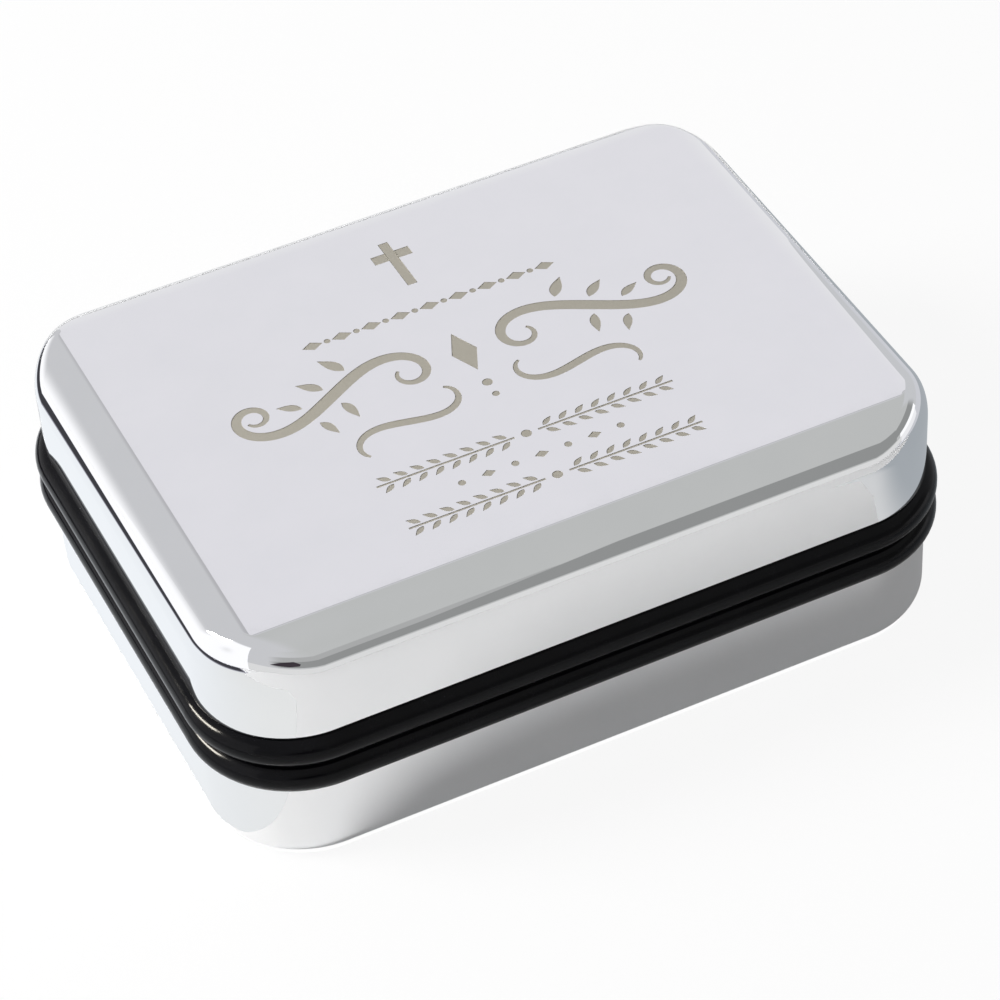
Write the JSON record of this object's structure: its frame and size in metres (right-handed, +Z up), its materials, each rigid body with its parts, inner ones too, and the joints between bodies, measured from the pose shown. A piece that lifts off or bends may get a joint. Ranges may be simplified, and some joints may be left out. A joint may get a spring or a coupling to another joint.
{
  "type": "rosary box",
  "caption": "Small hinged keepsake box: two polished chrome shells joined by round black beads at the seam, with a velvet-lined hollow inside.",
  "frame": {"origin": "centre of the flat underside, on the surface that the box stands on", "axes": "+X along the long side, -Y the front, +Y the hinged back, +Z up"},
  "size_m": [0.0824, 0.0626, 0.0283],
  "materials": {
    "chrome_plate": "polished",
    "black_plastic": "gloss",
    "hinge_steel": "satin",
    "screw_steel": "satin",
    "lining_board": "matte",
    "pad_foam": "matte",
    "velvet": "matte"
  },
  "bodies": {
    "base": {"base_shell": "chrome_plate", "base_rim": "black_plastic", "base_hinge_leaf": "hinge_steel", "hinge_pin": "hinge_steel", "base_hinge_screws": "screw_steel", "base_wall_card": "lining_board", "base_wall_velvet": "velvet", "base_pad_board": "lining_board", "base_pad_foam": "pad_foam", "base_pad_cover": "velvet"},
    "lid": {"lid_shell": "chrome_plate", "lid_rim": "black_plastic", "lid_hinge_leaf": "hinge_steel", "lid_hinge_screws": "screw_steel", "lid_wall_card": "lining_board", "lid_wall_velvet": "velvet", "lid_pad_board": "lining_board", "lid_pad_foam": "pad_foam", "lid_pad_cover": "velvet"}
  },
  "joints": [
    {"name": "lid_hinge", "type": "hinge", "parent": "base", "child": "lid", "pos_m": [0, 0.03032, 0.0134], "axis": [-1, 0, 0], "range_deg": [0, 100]}
  ]
}
